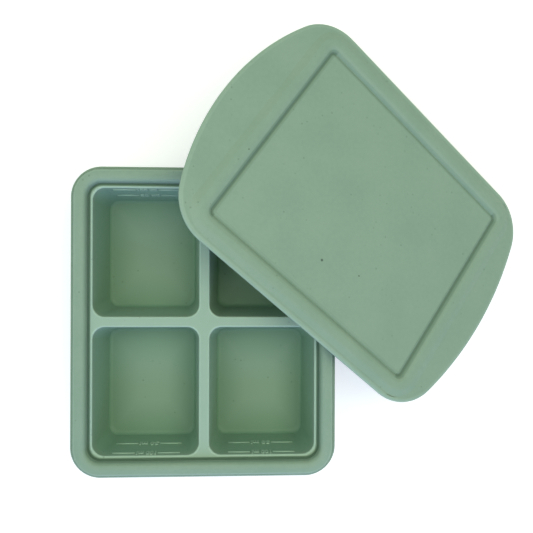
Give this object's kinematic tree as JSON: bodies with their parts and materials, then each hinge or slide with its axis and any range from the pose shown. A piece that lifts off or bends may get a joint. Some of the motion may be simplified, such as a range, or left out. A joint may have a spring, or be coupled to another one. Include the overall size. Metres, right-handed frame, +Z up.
{
  "type": "baby food freezer tray",
  "caption": "Silicone freezer tray for baby food with deep portion cups, a raised rim bead and measuring marks, and a loose lid with a sunken panel leaning on its rim.",
  "frame": {"origin": "middle of the table area under the whole set as it lies, with the lid leaning on the tray; the tray's own centre is at X -0.056, Y -0.0376", "axes": "+Z up from the table, +X across the tray's width towards the lid's low end, +Y along the tray's length towards the back"},
  "size_m": [0.2529, 0.2399, 0.0784],
  "materials": {
    "tray_silicone": "matte moulded silicone, sage green",
    "lid_silicone": "matte moulded silicone, sage green",
    "ring_steel": "drawn wire"
  },
  "bodies": {
    "tray": {"tray_body": "tray_silicone", "rim_frame": "ring_steel"},
    "lid": {"lid": "lid_silicone"}
  },
  "joints": [
    {"name": "lid_lift", "type": "slide", "parent": "tray", "child": "lid", "axis": [0, 0, 1], "range_m": [0, 0.08]}
  ]
}
